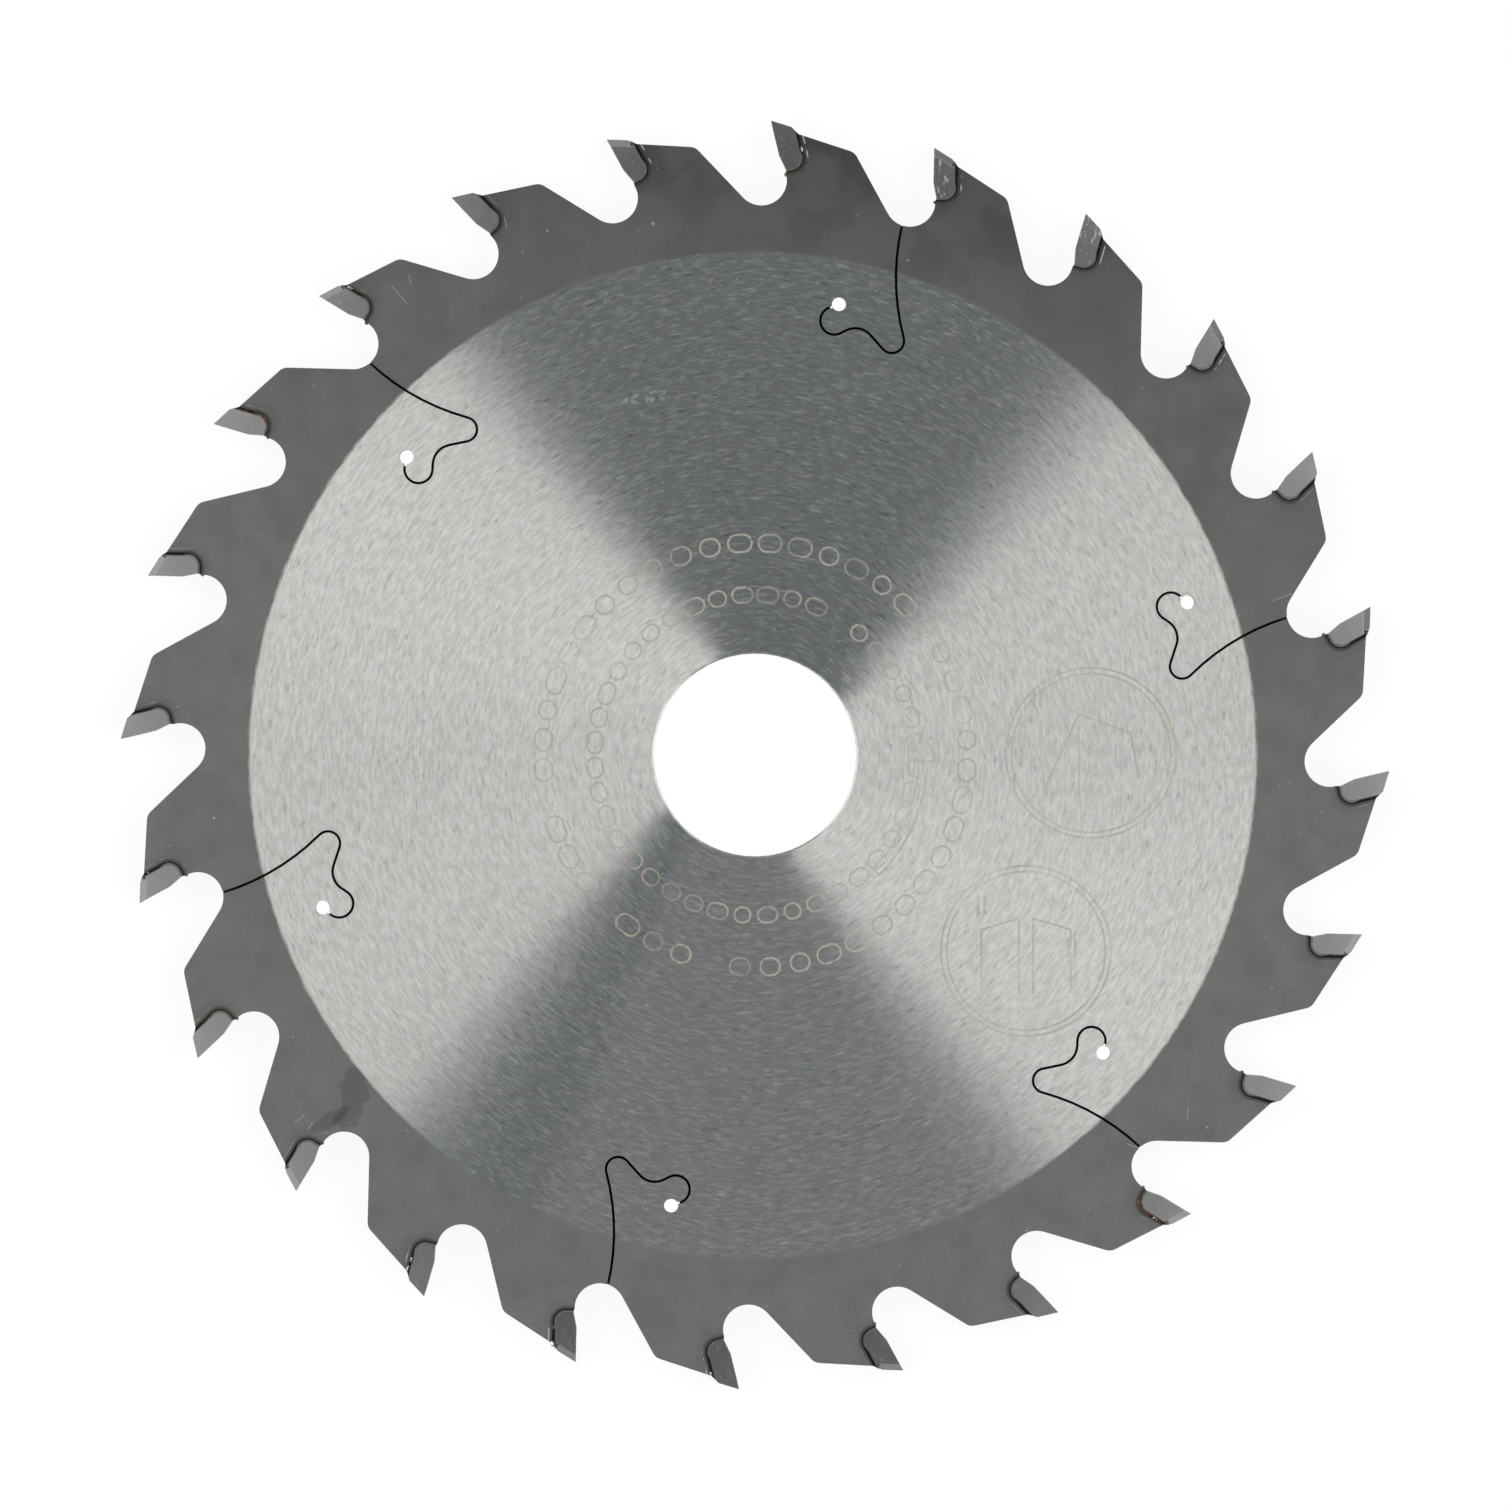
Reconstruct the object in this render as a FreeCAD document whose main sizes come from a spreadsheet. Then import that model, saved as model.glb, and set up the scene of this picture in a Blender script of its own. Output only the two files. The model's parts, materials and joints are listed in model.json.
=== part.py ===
import FreeCAD, Part
import math
import os
import Sketcher

# Circular saw blade: one steel plate, brazed carbide tips and the braze seam behind each tip.
# Z is the bore's axis, the origin is the bore's centre half way through the plate, and +Y runs
# through the middle of a gullet that has an expansion slot.

# The sizes that can be set, in millimetres and degrees.
drivingSizes = {
    "blade_diameter": 125.0,      # over the cutting corners
    "bore_diameter": 20.0,
    "bore_chamfer": 0.15,
    "plate_thickness": 1.8,
    "tooth_count": 24,
    "hook_angle": 15.0,           # rake face to the radius at its cutting edge
    "top_clearance": 15.0,        # top of the tip, falling away behind the edge
    "kerf_width": 2.8,            # width of a tip at its cutting edge
    "tip_length": 5.0,            # along the rake face
    "tip_thickness": 2.0,         # square to the rake face
    "tip_corner_radius": 1.0,     # rounded inner corner of the tip
    "rake_face_length": 3.5,      # ground part of the rake face
    "tip_foot_setback": 0.33,     # how far the tip's foot stands behind its rake face
    "tip_back_drop": 1.36,        # top of the tip's back, below the cutting edge
    "back_bevel_angle": 57.5,     # ground bevel across the top of the tip's back and the seam
    "side_bevel_angle": 15.0,     # alternate top bevel, seen along the tooth
    "side_clearance_down": 2.0,   # the tip's sides draw in towards its foot
    "side_clearance_back": 2.5,   # and towards its back
    "braze_gap": 0.35,
    "gullet_radius": 2.5,
    "gullet_setback": 0.23,       # the gullet's wall behind the line of the rake face
    "gullet_below_seat": 0.1,     # the gullet's centre below the seat's floor
    "flank_angle": 30.0,          # back of a tooth to the next rake face
    "heel_radius": 1.2,
    "land_angle": 16.7,           # top of the tooth behind the seam, to the tangent
    "slot_count": 6,
    "slot_width": 0.25,
    "relief_hole_diameter": 1.4,
    "relief_hole_reach": 45.2,    # distance of the relief holes from the bore's axis
    "relief_hole_turn": 5.1,      # angle from a slotted gullet to its relief hole
    "hook_lobe_radius": 1.38,     # the slot's last bend, round under the relief hole
    "hook_lobe_drop": 1.7,
    "crest_radius": 2.0,          # the slot's middle bend
    "crest_across": 2.72,
    "crest_drop": 3.79,
    "far_lobe_radius": 1.2,       # the slot's first bend
    "far_lobe_across": 6.0,
    "far_lobe_drop": 2.09,
    "slot_entry_shift": 0.15,     # the slot leaves the gullet this far beside its middle
    "slot_run_in": 1.0,           # the slot's cut starts this far inside the open gullet
    "cut_margin": 1.0,            # how far a cut runs past the metal
}

# Sizes worked out from those above. The rake frame has its origin at a cutting edge, its Y up
# along the rake face and its X square to it, towards the back of the tooth.
workedOutSizes = {
    "bore_radius": "bore_diameter / 2",
    "tip_radius": "blade_diameter / 2",
    "tooth_pitch": "360 / tooth_count",
    "axis_x": "-tip_radius * sin(hook_angle)",
    "axis_y": "-tip_radius * cos(hook_angle)",
    "seat_depth": "tip_length + braze_gap",
    "seat_back": "tip_thickness + braze_gap",
    "seat_corner_radius": "tip_corner_radius + braze_gap",
    "corner_x": "tip_thickness - tip_corner_radius",
    "corner_y": "tip_corner_radius - tip_length",
    "gullet_x": "gullet_setback - gullet_radius",
    "gullet_y": "-seat_depth - gullet_below_seat",
    "seat_front": "gullet_x + sqrt(gullet_radius ^ 2 - gullet_below_seat ^ 2)",
    "top_slope": "tan(hook_angle + top_clearance)",
    "bevel_slope": "tan(back_bevel_angle)",
    "tip_crown_x": "(bevel_slope * tip_thickness - tip_back_drop) / (bevel_slope - top_slope)",
    "tip_crown_drop": "top_slope * tip_crown_x",
    "seat_top_drop": "tip_back_drop + braze_gap * bevel_slope",
    "gullet_reach": "sqrt((gullet_x - axis_x) ^ 2 + (gullet_y - axis_y) ^ 2)",
    "gullet_turn": "atan2(axis_x - gullet_x; gullet_y - axis_y) / 1deg + hook_angle",
    "land_x": "axis_x + (seat_back - axis_x) * cos(tooth_pitch)"
              " + (seat_top_drop + axis_y) * sin(tooth_pitch)",
    "land_y": "axis_y + (seat_back - axis_x) * sin(tooth_pitch)"
              " - (seat_top_drop + axis_y) * cos(tooth_pitch)",
    "flank_direction": "90 + flank_angle",
    "land_direction": "180 - land_angle - hook_angle + tooth_pitch",
    "outer_cut_radius": "tip_radius + cut_margin",
    "cut_depth": "plate_thickness + 2 * cut_margin",
    "half_cut_depth": "cut_depth / 2",
    "half_slot": "slot_width / 2",
    "slot_start": "gullet_reach - gullet_radius + slot_run_in",
    "hole_x": "-relief_hole_reach * sin(relief_hole_turn)",
    "hole_y": "relief_hole_reach * cos(relief_hole_turn)",
    "hook_lobe_y": "hole_y - hook_lobe_drop",
    "crest_x": "hole_x + crest_across",
    "crest_y": "hole_y - crest_drop",
    "far_lobe_x": "hole_x + far_lobe_across",
    "far_lobe_y": "hole_y - far_lobe_drop",
    "neck_across": "far_lobe_x + slot_entry_shift",
    "neck_radius": "(neck_across ^ 2 + (slot_start - far_lobe_y) ^ 2 - far_lobe_radius ^ 2)"
                   " / (2 * (neck_across + far_lobe_radius))",
    "slot_left": "-slot_entry_shift - half_slot",
    "slot_right": "half_slot - slot_entry_shift",
    "half_kerf": "kerf_width / 2",
    "side_cut_out": "half_kerf + cut_margin",
    "down_cut_length": "tip_length + cut_margin",
    "down_cut_edge": "half_kerf - down_cut_length * tan(side_clearance_down)",
    "back_cut_length": "tip_thickness + cut_margin",
    "back_cut_edge": "half_kerf - back_cut_length * tan(side_clearance_back)",
    "top_cut_rise": "cut_margin * tan(side_bevel_angle)",
    "top_cut_fall": "(kerf_width + cut_margin) * tan(side_bevel_angle)",
    "top_cut_reach": "top_cut_rise + cut_margin",
    "top_tilt": "hook_angle + top_clearance",
}

# A sketch knows these points of a line or an arc by number, and its own origin as a pair.
startPoint, endPoint, centrePoint = range(1, 4)
sheetOrigin = (-1, startPoint)

doc = FreeCAD.newDocument("SawBlade")


def makeSheet():
    table = doc.addObject("Spreadsheet::Sheet", "Sizes")
    rows = {name: str(number) for name, number in drivingSizes.items()}
    rows.update({name: "=" + rule for name, rule in workedOutSizes.items()})
    for row, (name, content) in enumerate(rows.items(), 1):
        table.set("A%d" % row, name)
        table.set("B%d" % row, content)
        table.setAlias("B%d" % row, name)
        doc.recompute()
    return table


sheet = makeSheet()


# The number under a name. A minus sign before the name turns it round, and "0" is nought.
def size(name):
    if name == "0":
        return 0.0
    if name.startswith("-"):
        return -size(name[1:])
    cell = sheet.get(name)
    return float(getattr(cell, "Value", cell))


def formula(name):
    return "-Sizes." + name[1:] if name.startswith("-") else "Sizes." + name


def polar(centre, radius, degrees):
    angle = math.radians(degrees)
    return centre[0] + radius * math.cos(angle), centre[1] + radius * math.sin(angle)


def heading(start, end):
    return math.degrees(math.atan2(end[1] - start[1], end[0] - start[0]))


# Where two lines meet, each given by a point and a direction in degrees.
def crossing(pointA, directionA, pointB, directionB):
    a = math.radians(directionA)
    b = math.radians(directionB)
    across = pointB[0] - pointA[0], pointB[1] - pointA[1]
    along = (across[0] * math.sin(b) - across[1] * math.cos(b)) / math.sin(b - a)
    return pointA[0] + along * math.cos(a), pointA[1] + along * math.sin(a)


# Direction of the straight run that leaves one bend and enters the next, which turns the other way.
def runBetween(centreA, radiusA, clockwiseA, centreB, radiusB):
    distance = math.dist(centreA, centreB)
    lean = math.degrees(math.asin((radiusA + radiusB) / distance))
    return heading(centreA, centreB) + (-lean if clockwiseA else lean)


def addLine(sketch, start, end):
    return sketch.addGeometry(Part.LineSegment(FreeCAD.Vector(*start, 0), FreeCAD.Vector(*end, 0)))


# An arc drawn anticlockwise between two directions in degrees.
def addArc(sketch, centre, radius, fromDegrees, toDegrees):
    circle = Part.Circle(FreeCAD.Vector(*centre, 0), FreeCAD.Vector(0, 0, 1), radius)
    return sketch.addGeometry(
        Part.ArcOfCircle(circle, math.radians(fromDegrees), math.radians(toDegrees)))


def relate(sketch, kind, *references):
    sketch.addConstraint(Sketcher.Constraint(kind, *references))


# A dimension that follows the sheet.
def bind(sketch, kind, references, name):
    number = size(name)
    if kind == "Angle":
        number = math.radians(number)
    index = sketch.addConstraint(Sketcher.Constraint(kind, *references, number))
    if name != "0":
        unit = " * 1deg" if kind == "Angle" else " * 1mm"
        sketch.setExpression("Constraints[%d]" % index, formula(name) + unit)


def bindPoint(sketch, geometry, point, nameX, nameY):
    bind(sketch, "DistanceX", (geometry, point), nameX)
    bind(sketch, "DistanceY", (geometry, point), nameY)


# A closed outline of straight lines whose corners are all named in the sheet.
def addPolygon(sketch, corners):
    points = [(size(nameX), size(nameY)) for nameX, nameY in corners]
    sides = [addLine(sketch, points[i], points[(i + 1) % len(points)]) for i in range(len(points))]
    for i, side in enumerate(sides):
        relate(sketch, "Coincident", side, endPoint, sides[(i + 1) % len(sides)], startPoint)
        bindPoint(sketch, side, startPoint, *corners[i])


def originPart(body, role):
    return next(part for part in body.Origin.OriginFeatures if part.Role == role)


def newSketch(body, name, plane="XY_Plane"):
    sketch = body.newObject("Sketcher::SketchObject", name)
    sketch.AttachmentSupport = [(originPart(body, plane), "")]
    sketch.MapMode = "FlatFace"
    return sketch


def newPad(body, name, sketch, thickness):
    pad = body.newObject("PartDesign::Pad", name)
    pad.Profile = sketch
    pad.SideType = "Symmetric"
    pad.setExpression("Length", formula(thickness) + " * 1mm")
    return pad


def newPocket(body, name, sketch):
    pocket = body.newObject("PartDesign::Pocket", name)
    pocket.Profile = sketch
    pocket.SideType = "Symmetric"
    pocket.Type = "ThroughAll"
    return pocket


def newPattern(body, name, original, count):
    pattern = body.newObject("PartDesign::PolarPattern", name)
    pattern.Originals = [original]
    pattern.Axis = (originPart(body, "Z_Axis"), [""])
    pattern.Angle = 360
    pattern.setExpression("Occurrences", formula(count))
    body.Tip = pattern
    return pattern


def newBody(label):
    body = doc.addObject("PartDesign::Body", label)
    body.Label = label
    return body


# Puts something drawn in the rake frame of one tooth at that tooth.
def placeAtTooth(owner, placement, tooth):
    turn = "(Sizes.gullet_turn - %d * Sizes.tooth_pitch)" % tooth
    aboutZ = FreeCAD.Rotation(FreeCAD.Vector(0, 0, 1), size("hook_angle"))
    setattr(owner, placement, FreeCAD.Placement(FreeCAD.Vector(), aboutZ))
    owner.setExpression(placement + ".Base.x", "Sizes.tip_radius * sin(%s) * 1mm" % turn)
    owner.setExpression(placement + ".Base.y", "Sizes.tip_radius * cos(%s) * 1mm" % turn)
    owner.setExpression(placement + ".Rotation.Angle", "(Sizes.hook_angle - %s) * 1deg" % turn)


# The space from the back of one tip's seat, round the gullet and over the tooth before it.
def drawToothGap(body):
    sketch = newSketch(body, "tooth_gap_outline")
    placeAtTooth(sketch, "AttachmentOffset", 0)
    axis = size("axis_x"), size("axis_y")
    corner = size("corner_x"), size("corner_y")
    gullet = size("gullet_x"), size("gullet_y")
    landPoint = size("land_x"), size("land_y")
    flankWay = size("flank_direction")
    landWay = size("land_direction")
    outer = size("outer_cut_radius")

    flankStart = polar(gullet, size("gullet_radius"), flankWay + 90)
    heelCorner = crossing(flankStart, flankWay, landPoint, landWay)
    heelTangent = size("heel_radius") * math.tan(math.radians(landWay - flankWay) / 2)
    heelStart = polar(heelCorner, -heelTangent, flankWay)
    heelEnd = polar(heelCorner, heelTangent, landWay)
    heelCentre = polar(heelStart, size("heel_radius"), flankWay + 90)
    seatTopY = axis[1] + math.sqrt(outer ** 2 - (size("seat_back") - axis[0]) ** 2)
    seatTop = size("seat_back"), seatTopY
    landTop = polar(landPoint, 2 * size("cut_margin"), landWay)
    seatFloorFront = size("seat_front"), -size("seat_depth")

    seatBack = addLine(sketch, seatTop, (size("seat_back"), corner[1]))
    seatCorner = addArc(sketch, corner, size("seat_corner_radius"), -90, 0)
    seatFloor = addLine(sketch, (corner[0], -size("seat_depth")), seatFloorFront)
    gulletArc = addArc(sketch, gullet, size("gullet_radius"), flankWay + 90,
                       360 + heading(gullet, seatFloorFront))
    flank = addLine(sketch, flankStart, heelStart)
    heel = addArc(sketch, heelCentre, size("heel_radius"), flankWay - 90, landWay - 90)
    land = addLine(sketch, heelEnd, landTop)
    outside = addArc(sketch, axis, outer, heading(axis, seatTop), heading(axis, landTop))
    landMark = sketch.addGeometry(Part.Point(FreeCAD.Vector(*landPoint, 0)), True)

    relate(sketch, "Vertical", seatBack)
    relate(sketch, "Horizontal", seatFloor)
    relate(sketch, "Tangent", seatBack, endPoint, seatCorner, endPoint)
    relate(sketch, "Tangent", seatCorner, startPoint, seatFloor, startPoint)
    relate(sketch, "Coincident", seatFloor, endPoint, gulletArc, endPoint)
    relate(sketch, "Tangent", gulletArc, startPoint, flank, startPoint)
    relate(sketch, "Tangent", flank, endPoint, heel, startPoint)
    relate(sketch, "Tangent", heel, endPoint, land, startPoint)
    relate(sketch, "Coincident", land, endPoint, outside, endPoint)
    relate(sketch, "Coincident", outside, startPoint, seatBack, startPoint)
    relate(sketch, "PointOnObject", landMark, startPoint, land)

    bindPoint(sketch, seatCorner, centrePoint, "corner_x", "corner_y")
    bind(sketch, "Radius", (seatCorner,), "seat_corner_radius")
    bindPoint(sketch, gulletArc, centrePoint, "gullet_x", "gullet_y")
    bind(sketch, "Radius", (gulletArc,), "gullet_radius")
    bind(sketch, "Angle", (flank,), "flank_direction")
    bind(sketch, "Radius", (heel,), "heel_radius")
    bind(sketch, "Angle", (land,), "land_direction")
    bindPoint(sketch, landMark, startPoint, "land_x", "land_y")
    bindPoint(sketch, outside, centrePoint, "axis_x", "axis_y")
    bind(sketch, "Radius", (outside,), "outer_cut_radius")
    return sketch


# The middle line of an expansion slot: in from the gullet, round three bends, into the relief hole.
def drawSlotPath(body):
    sketch = newSketch(body, "slot_path")
    neckRadius = size("neck_radius")
    neck = neckRadius - size("slot_entry_shift"), size("slot_start")
    farLobe = size("far_lobe_x"), size("far_lobe_y")
    crest = size("crest_x"), size("crest_y")
    hookLobe = size("hole_x"), size("hook_lobe_y")
    farRadius = size("far_lobe_radius")
    crestRadius = size("crest_radius")
    hookRadius = size("hook_lobe_radius")
    rise = runBetween(farLobe, farRadius, True, crest, crestRadius)
    fall = runBetween(crest, crestRadius, False, hookLobe, hookRadius)

    neckArc = addArc(sketch, neck, neckRadius, 180, 360 + heading(neck, farLobe))
    farArc = addArc(sketch, farLobe, farRadius, rise + 90 - 360, heading(farLobe, neck))
    risingRun = addLine(sketch, polar(farLobe, farRadius, rise + 90),
                        polar(crest, crestRadius, rise - 90))
    crestArc = addArc(sketch, crest, crestRadius, rise - 90, fall - 90)
    fallingRun = addLine(sketch, polar(crest, crestRadius, fall - 90),
                         polar(hookLobe, hookRadius, fall + 90))
    hookArc = addArc(sketch, hookLobe, hookRadius, 90, fall + 90)

    relate(sketch, "Tangent", neckArc, endPoint, farArc, endPoint)
    relate(sketch, "Tangent", farArc, startPoint, risingRun, startPoint)
    relate(sketch, "Tangent", risingRun, endPoint, crestArc, startPoint)
    relate(sketch, "Tangent", crestArc, endPoint, fallingRun, startPoint)
    relate(sketch, "Tangent", fallingRun, endPoint, hookArc, endPoint)

    bindPoint(sketch, neckArc, startPoint, "-slot_entry_shift", "slot_start")
    bind(sketch, "DistanceY", (neckArc, centrePoint), "slot_start")
    bindPoint(sketch, farArc, centrePoint, "far_lobe_x", "far_lobe_y")
    bind(sketch, "Radius", (farArc,), "far_lobe_radius")
    bindPoint(sketch, crestArc, centrePoint, "crest_x", "crest_y")
    bind(sketch, "Radius", (crestArc,), "crest_radius")
    bindPoint(sketch, hookArc, centrePoint, "hole_x", "hook_lobe_y")
    bind(sketch, "Radius", (hookArc,), "hook_lobe_radius")
    bind(sketch, "DistanceX", (hookArc, startPoint), "hole_x")
    return sketch


def makePlate():
    body = newBody("steel_plate")

    blankOutline = newSketch(body, "blank_outline")
    for circleRadius in ("tip_radius", "bore_radius"):
        circle = Part.Circle(FreeCAD.Vector(), FreeCAD.Vector(0, 0, 1), size(circleRadius))
        rim = blankOutline.addGeometry(circle)
        relate(blankOutline, "Coincident", rim, centrePoint, *sheetOrigin)
        bind(blankOutline, "Radius", (rim,), circleRadius)
    blank = newPad(body, "blank", blankOutline, "plate_thickness")
    doc.recompute()

    boreRims = ["Edge%d" % number for number, edge in enumerate(blank.Shape.Edges, 1)
                if isinstance(edge.Curve, Part.Circle)
                and abs(edge.Curve.Radius - size("bore_radius")) < 1e-6]
    boreEdge = body.newObject("PartDesign::Chamfer", "bore_edge")
    boreEdge.Base = (blank, boreRims)
    boreEdge.setExpression("Size", formula("bore_chamfer") + " * 1mm")

    toothGap = newPocket(body, "tooth_gap", drawToothGap(body))
    teeth = newPattern(body, "teeth", toothGap, "tooth_count")

    slotSection = newSketch(body, "slot_section", "XZ_Plane")
    slotSection.setExpression("AttachmentOffset.Base.z", formula("-slot_start") + " * 1mm")
    addPolygon(slotSection, [("slot_left", "-half_cut_depth"), ("slot_right", "-half_cut_depth"),
                             ("slot_right", "half_cut_depth"), ("slot_left", "half_cut_depth")])
    slot = body.newObject("PartDesign::SubtractivePipe", "slot")
    slot.Profile = slotSection
    slot.Spine = (drawSlotPath(body), [])
    slots = newPattern(body, "slots", slot, "slot_count")

    holeOutline = newSketch(body, "relief_hole_outline")
    circle = Part.Circle(FreeCAD.Vector(size("hole_x"), size("hole_y"), 0), FreeCAD.Vector(0, 0, 1),
                         size("relief_hole_diameter") / 2)
    rim = holeOutline.addGeometry(circle)
    bindPoint(holeOutline, rim, centrePoint, "hole_x", "hole_y")
    bind(holeOutline, "Diameter", (rim,), "relief_hole_diameter")
    hole = newPocket(body, "relief_hole", holeOutline)
    holes = newPattern(body, "relief_holes", hole, "slot_count")
    return body, [blank, boreEdge, toothGap, teeth, slot, slots, hole, holes]


# One carbide tip in its rake frame. highSide is the side of the blade, 1 or -1, on which its top
# edge is highest.
def makeTip(label, tooth, highSide):
    body = newBody(label)

    profile = newSketch(body, label + "_profile")
    corner = size("corner_x"), size("corner_y")
    footFront = size("tip_foot_setback"), -size("tip_length")
    rakeFoot = 0, -size("rake_face_length")
    backTop = size("tip_thickness"), -size("tip_back_drop")
    crown = size("tip_crown_x"), -size("tip_crown_drop")
    rakeFace = addLine(profile, (0, 0), rakeFoot)
    footBlend = addLine(profile, rakeFoot, footFront)
    foot = addLine(profile, footFront, (corner[0], footFront[1]))
    rounded = addArc(profile, corner, size("tip_corner_radius"), -90, 0)
    back = addLine(profile, (backTop[0], corner[1]), backTop)
    bevel = addLine(profile, backTop, crown)
    top = addLine(profile, crown, (0, 0))
    relate(profile, "Coincident", rakeFace, startPoint, *sheetOrigin)
    relate(profile, "Vertical", rakeFace)
    relate(profile, "Coincident", rakeFace, endPoint, footBlend, startPoint)
    relate(profile, "Coincident", footBlend, endPoint, foot, startPoint)
    relate(profile, "Horizontal", foot)
    relate(profile, "Tangent", foot, endPoint, rounded, startPoint)
    relate(profile, "Tangent", rounded, endPoint, back, startPoint)
    relate(profile, "Coincident", back, endPoint, bevel, startPoint)
    relate(profile, "Coincident", bevel, endPoint, top, startPoint)
    relate(profile, "Coincident", top, endPoint, rakeFace, startPoint)
    relate(profile, "Vertical", back)
    bind(profile, "DistanceY", (rakeFace, endPoint), "-rake_face_length")
    bindPoint(profile, foot, startPoint, "tip_foot_setback", "-tip_length")
    bindPoint(profile, rounded, centrePoint, "corner_x", "corner_y")
    bind(profile, "DistanceY", (back, endPoint), "-tip_back_drop")
    bindPoint(profile, top, startPoint, "tip_crown_x", "-tip_crown_drop")
    block = newPad(body, label + "_block", profile, "kerf_width")

    downWedges = newSketch(body, label + "_down_wedges", "YZ_Plane")
    backWedges = newSketch(body, label + "_back_wedges", "XZ_Plane")
    for side in ("", "-"):
        edge = side + "half_kerf"
        outside = side + "side_cut_out"
        addPolygon(downWedges, [("0", edge), ("-down_cut_length", side + "down_cut_edge"),
                                ("-down_cut_length", outside), ("0", outside)])
        addPolygon(backWedges, [("0", edge), ("back_cut_length", side + "back_cut_edge"),
                                ("back_cut_length", outside), ("0", outside)])
    downRelief = newPocket(body, label + "_down_relief", downWedges)
    backRelief = newPocket(body, label + "_back_relief", backWedges)

    high = "" if highSide > 0 else "-"
    low = "-" if highSide > 0 else ""
    topWedge = newSketch(body, label + "_top_wedge", "YZ_Plane")
    tilt = FreeCAD.Rotation(FreeCAD.Vector(0, -1, 0), size("top_tilt"))
    topWedge.AttachmentOffset = FreeCAD.Placement(FreeCAD.Vector(), tilt)
    topWedge.setExpression("AttachmentOffset.Rotation.Angle", formula("top_tilt") + " * 1deg")
    highCut = high + "side_cut_out"
    lowCut = low + "side_cut_out"
    addPolygon(topWedge, [("top_cut_rise", highCut), ("-top_cut_fall", lowCut),
                          ("top_cut_reach", lowCut), ("top_cut_reach", highCut)])
    topBevel = newPocket(body, label + "_top_bevel", topWedge)

    placeAtTooth(body, "Placement", tooth)
    return body, [block, downRelief, backRelief, topBevel]


# The braze that fills the gap between a tip and its seat, flush with the plate.
def makeBraze(label, tooth):
    body = newBody(label)
    outline = newSketch(body, label + "_outline")
    corner = size("corner_x"), size("corner_y")
    tipBack = size("tip_thickness")
    seatBack = size("seat_back")
    tipFoot = -size("tip_length")
    seatFloor = -size("seat_depth")
    backTop = tipBack, -size("tip_back_drop")
    seatTop = seatBack, -size("seat_top_drop")
    footFront = size("tip_foot_setback"), tipFoot
    floorFront = size("seat_front"), seatFloor
    tipSide = addLine(outline, backTop, (tipBack, corner[1]))
    tipCorner = addArc(outline, corner, size("tip_corner_radius"), -90, 0)
    underTip = addLine(outline, (corner[0], tipFoot), footFront)
    front = addLine(outline, footFront, floorFront)
    onFloor = addLine(outline, floorFront, (corner[0], seatFloor))
    seatCorner = addArc(outline, corner, size("seat_corner_radius"), -90, 0)
    seatSide = addLine(outline, (seatBack, corner[1]), seatTop)
    bevel = addLine(outline, seatTop, backTop)
    relate(outline, "Tangent", tipSide, endPoint, tipCorner, endPoint)
    relate(outline, "Tangent", tipCorner, startPoint, underTip, startPoint)
    relate(outline, "Coincident", underTip, endPoint, front, startPoint)
    relate(outline, "Coincident", front, endPoint, onFloor, startPoint)
    relate(outline, "Tangent", onFloor, endPoint, seatCorner, startPoint)
    relate(outline, "Tangent", seatCorner, endPoint, seatSide, startPoint)
    relate(outline, "Coincident", seatSide, endPoint, bevel, startPoint)
    relate(outline, "Coincident", bevel, endPoint, tipSide, startPoint)
    for upright in (tipSide, seatSide):
        relate(outline, "Vertical", upright)
    for level in (underTip, onFloor):
        relate(outline, "Horizontal", level)
    bindPoint(outline, tipCorner, centrePoint, "corner_x", "corner_y")
    bind(outline, "Radius", (tipCorner,), "tip_corner_radius")
    bindPoint(outline, seatCorner, centrePoint, "corner_x", "corner_y")
    bind(outline, "Radius", (seatCorner,), "seat_corner_radius")
    bind(outline, "DistanceY", (tipSide, startPoint), "-tip_back_drop")
    bind(outline, "DistanceY", (seatSide, endPoint), "-seat_top_drop")
    bind(outline, "DistanceX", (front, startPoint), "tip_foot_setback")
    bind(outline, "DistanceX", (front, endPoint), "seat_front")
    seam = newPad(body, label + "_seam", outline, "plate_thickness")
    placeAtTooth(body, "Placement", tooth)
    return body, [seam]


pieces = [makePlate()]
for tooth in range(drivingSizes["tooth_count"]):
    highSide = 1 if tooth % 2 else -1
    pieces.append(makeTip("carbide_tip_%02d" % (tooth + 1), tooth, highSide))
    pieces.append(makeBraze("braze_seam_%02d" % (tooth + 1), tooth))
doc.recompute()

# Nothing is written unless every step worked and every cut took metal away.
for thing in doc.Objects:
    if "Invalid" in thing.State or "Error" in thing.State:
        raise RuntimeError("%s failed: %s" % (thing.Label, thing.State))
for body, steps in pieces:
    for before, after in zip(steps, steps[1:]):
        if not after.Shape.Volume < before.Shape.Volume:
            raise RuntimeError("%s took nothing away" % after.Label)
    if body.Shape.isNull() or not body.Shape.isValid() or len(body.Shape.Solids) != 1:
        raise RuntimeError("%s isn't one sound solid" % body.Label)

os.makedirs("parts", exist_ok=True)
for body, steps in pieces:
    body.Shape.exportStep("parts/%s.step" % body.Label)
print(len(pieces), "pieces, %.0f mm3 in all" % sum(body.Shape.Volume for body, steps in pieces))
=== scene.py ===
import bpy
import bmesh
import json
import math
import random
from mathutils import Matrix, Vector, noise


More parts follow.
